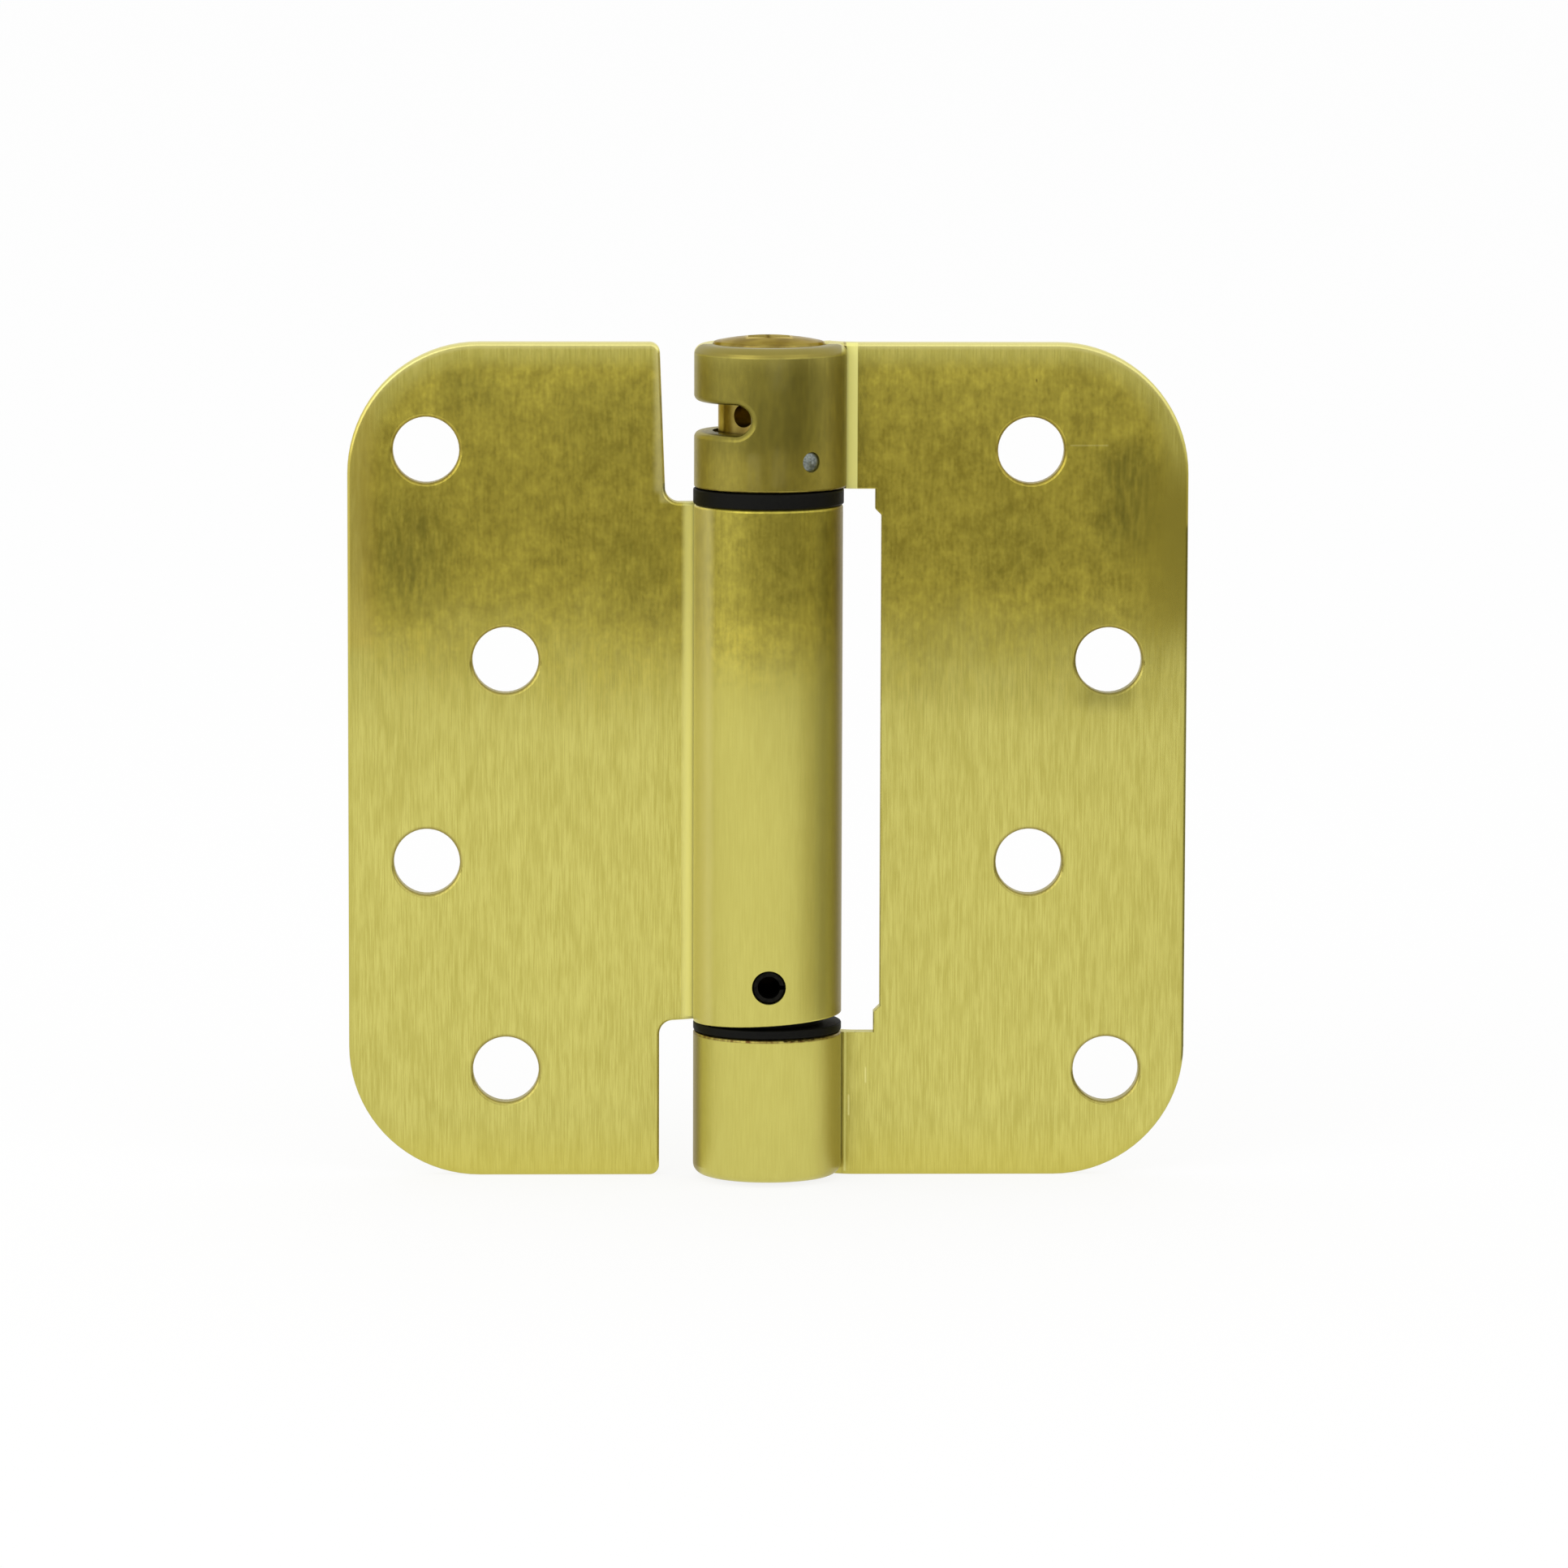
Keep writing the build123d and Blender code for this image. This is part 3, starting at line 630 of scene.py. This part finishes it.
def mottled_finish(name, dark, light, rough_low, rough_high, cell, even):
    """A finish with soft mottling: two colours and two roughnesses follow one noise."""
    material, tree = new_material(name)
    place = add(tree, "TexCoord").outputs["Object"]
    mottle = stretched_noise(tree, place, cell, cell, detail=4)
    share = add(
        tree,
        "MapRange",
        {"Value": mottle, "From Min": 0.35, "From Max": 0.65},
        interpolation_type="SMOOTHSTEP",
    )
    pair = {6: hex_colour(dark), 7: hex_colour(light)}
    colour = add(tree, "Mix", {0: share, **pair}, data_type="RGBA")
    between = {"From Min": 0.3, "From Max": 0.7, "To Min": rough_low, "To Max": rough_high}
    rough = add(tree, "MapRange", {"Value": mottle, **between})
    surface = add(tree, "BsdfPrincipled", {"Base Color": colour, "Roughness": rough, **even})
    add(tree, "OutputMaterial", {"Surface": surface})
    print(material.name, "has", len(tree.nodes), "nodes")
    return material


for name, recipe in MOTTLED.items():
    finishes[name] = mottled_finish(name, *recipe)

# %% Dress every node in the finish that the record names
for part in frame["record"]["subparts"]:
    node = frame["nodes"][part["node"]]
    node.data.materials.clear()
    node.data.materials.append(finishes[part["material_slot"]])
    print(part["node"], "is dressed in", part["material_slot"])

# %% [markdown]
# ## The spring in two halves
#
# The torsion spring is a close coil of wire that runs from the anchor in the barrel to the adjuster
# in the upper knuckle, and both of them turn. It could be wound anew along a curve, but the CAD
# coil has the right shape. So a copy of it is parted at the middle with a bisect, into a lower and
# an upper half, and the CAD coil is hidden.

# %% Part the spring at its middle
WELD = 0.001 * MM  # corners closer than this are one
CUT_PRECISION = 0.0001 * MM
spring_low, spring_high = (corner.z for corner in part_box("torsion_spring"))
spring_middle = (spring_low + spring_high) / 2


def half_of_spring(name, clear_above):
    """Half of the spring, cut at the middle, with its cut face filled."""
    node = frame["nodes"]["torsion_spring"]
    half = bpy.data.objects.new(name, node.data.copy())
    bpy.context.scene.collection.objects.link(half)
    bpy.ops.object.select_all(action="DESELECT")
    half.select_set(True)
    bpy.context.view_layer.objects.active = half
    bpy.ops.object.mode_set(mode="EDIT")
    bpy.ops.mesh.select_all(action="SELECT")
    bpy.ops.mesh.remove_doubles(threshold=WELD)
    bpy.ops.mesh.bisect(
        plane_co=(0, 0, spring_middle),
        plane_no=(0, 0, 1),
        use_fill=True,
        threshold=CUT_PRECISION,
        clear_outer=clear_above,
        clear_inner=not clear_above,
    )
    bpy.ops.object.mode_set(mode="OBJECT")
    if clear_above:
        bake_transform(half)
    else:
        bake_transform(half)
    print(name, "has", len(half.data.polygons), "faces")
    return half


lower_half = half_of_spring(
    "torsion_spring_lower", True
)
upper_half = half_of_spring(
    "torsion_spring_upper", False
)
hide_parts("torsion_spring")
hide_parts("torsion_spring")

# %% [markdown]
# ## Studio
#
# Satin metal shows only what it mirrors, so the studio is built for the mirror image. The hinge
# stands on a wide white floor under a white world, and both look white to the camera and to the
# metal whatever the light. Lamps alone could not shape such a surface, so curved cards stand round
# it that show only in reflections: they hide from the camera and throw no shadow. The upper third
# of the leaves mirrors the cards in front, the part below mirrors the floor before them, and the
# top edge the white above them. The cards on the right give barrel and knuckles their darker side.

# %% Floor
FLOOR_SIZE = 40.0  # metres
FLOOR_PAINT = hex_colour("#FAFAFA")
MATT = 0.9  # roughness of the floor and the cards
FLOOR_GLOW = 0.85  # share of the floor's white that is seen whatever the light
WHITE = (1, 1, 1, 1)


def seen_rays(tree):
    """1 for rays that show the background, straight or by way of metal or glass."""
    path = add(tree, "LightPath")
    glossy, clear = path.outputs["Is Glossy Ray"], path.outputs["Is Transmission Ray"]
    by_way = add(tree, "Math", {0: glossy, 1: clear}, operation="MAXIMUM")
    return add(tree, "Math", {0: path.outputs["Is Camera Ray"], 1: by_way}, operation="MAXIMUM")


def make_floor():
    bpy.ops.mesh.primitive_plane_add(size=FLOOR_SIZE, location=(0, 0, cad_box[0][2]))
    floor = bpy.context.object
    floor.name = "floor"
    material, tree = new_material("floor_white")
    share = add(tree, "Math", {0: seen_rays(tree), 1: FLOOR_GLOW}, operation="MULTIPLY")
    paint = add(tree, "BsdfPrincipled", {"Base Color": FLOOR_PAINT, "Roughness": MATT})
    glow = add(tree, "Emission", {"Color": WHITE, "Strength": 1.0})
    surface = add(tree, "MixShader", {0: share, 1: paint, 2: glow})
    add(tree, "OutputMaterial", {"Surface": surface})
    floor.data.materials.append(material)
    print(floor.name, "is", FLOOR_SIZE, "m wide")


make_floor()

# %% Cards
# Radius, lower and upper edge in metres, first and last angle from straight in front, paint.
CARDS = {
    # A low wall, which the leaves mirror in front and the barrel on its right.
    "card_left": (0.6, 0, 0.054, -38, -16, "#A9A282"),
    "card_front": (0.6, 0, 0.050, -16, 28, "#867F61"),
    "card_right": (0.6, 0, 0.085, 28, 70, "#655D3F"),
    # A pale and a dark card close by, for the right side of barrel and knuckles.
    "grey_right": (0.13, 0, 0.085, 50, 78, "#BDB793"),
    "flag_right": (0.065, 0.010, 0.078, 78, 100, "#1E180C"),
}
CARD_SIDES = 180  # of a full ring, so a side is two degrees wide


def make_card(name, radius, low, high, first, last, paint):
    """Part of a wide ring that stands round the pin and shows only in reflections."""
    bpy.ops.mesh.primitive_cylinder_add(
        vertices=CARD_SIDES,
        radius=radius,
        depth=high - low,
        end_fill_type="NOTHING",
        location=(0, 0, cad_box[0][2] + (low + high) / 2),
    )
    card = bpy.context.object
    card.name = name
    bpy.ops.object.mode_set(mode="EDIT")
    bpy.ops.mesh.select_all(action="DESELECT")
    bpy.ops.object.mode_set(mode="OBJECT")
    for face in card.data.polygons:
        turn = degrees(atan2(face.center.x, -face.center.y))
        face.select = not first < turn < last
    bpy.ops.object.mode_set(mode="EDIT")
    bpy.ops.mesh.delete(type="FACE")
    bpy.ops.object.mode_set(mode="OBJECT")
    material, tree = new_material(name)
    surface = add(tree, "BsdfPrincipled", {"Base Color": hex_colour(paint), "Roughness": MATT})
    add(tree, "OutputMaterial", {"Surface": surface})
    card.data.materials.append(material)
    card.visible_camera = False
    card.visible_diffuse = False
    card.visible_shadow = False
    print(name, "has", len(card.data.polygons), "faces")


for name, sizes in CARDS.items():
    make_card(name, *sizes)

# %% World and lamps
WORLD_LEVEL = 0.95  # the light from all round, where 1 is white
LAMP_AIM = Vector((0, 0, 0.05))
# Angle from straight in front, height, distance and size in metres, level.
LAMPS = {"key": (-40, 0.55, 1.3, 0.9, 1.5), "fill": (45, 0.7, 1.3, 0.8, 0.6)}


def make_world():
    world = bpy.data.worlds.new("studio")
    world.use_nodes = True
    tree = world.node_tree
    tree.nodes.clear()
    strength = add(tree, "MapRange", {"Value": seen_rays(tree), "To Min": WORLD_LEVEL})
    background = add(tree, "Background", {"Color": WHITE, "Strength": strength})
    add(tree, "OutputWorld", {"Surface": background})
    bpy.context.scene.world = world


def make_lamp(name, azimuth, height, distance, size, level):
    """Square soft lamp whose face is as bright as this level, where 1 is white."""
    data = bpy.data.lights.new(name, "AREA")
    data.shape = "SQUARE"
    data.size = size
    data.energy = level * pi * size**2  # watts
    lamp = bpy.data.objects.new(name, data)
    bpy.context.scene.collection.objects.link(lamp)
    turn = radians(azimuth)
    lamp.location = (distance * sin(turn), -distance * cos(turn), height)
    lamp.rotation_euler = (LAMP_AIM - lamp.location).to_track_quat("-Z", "Y").to_euler()
    print(name, "shines with", round(data.energy, 2), "W")


make_world()
for name, sizes in LAMPS.items():
    make_lamp(name, *sizes)
bpy.context.scene.view_settings.view_transform = "Standard"
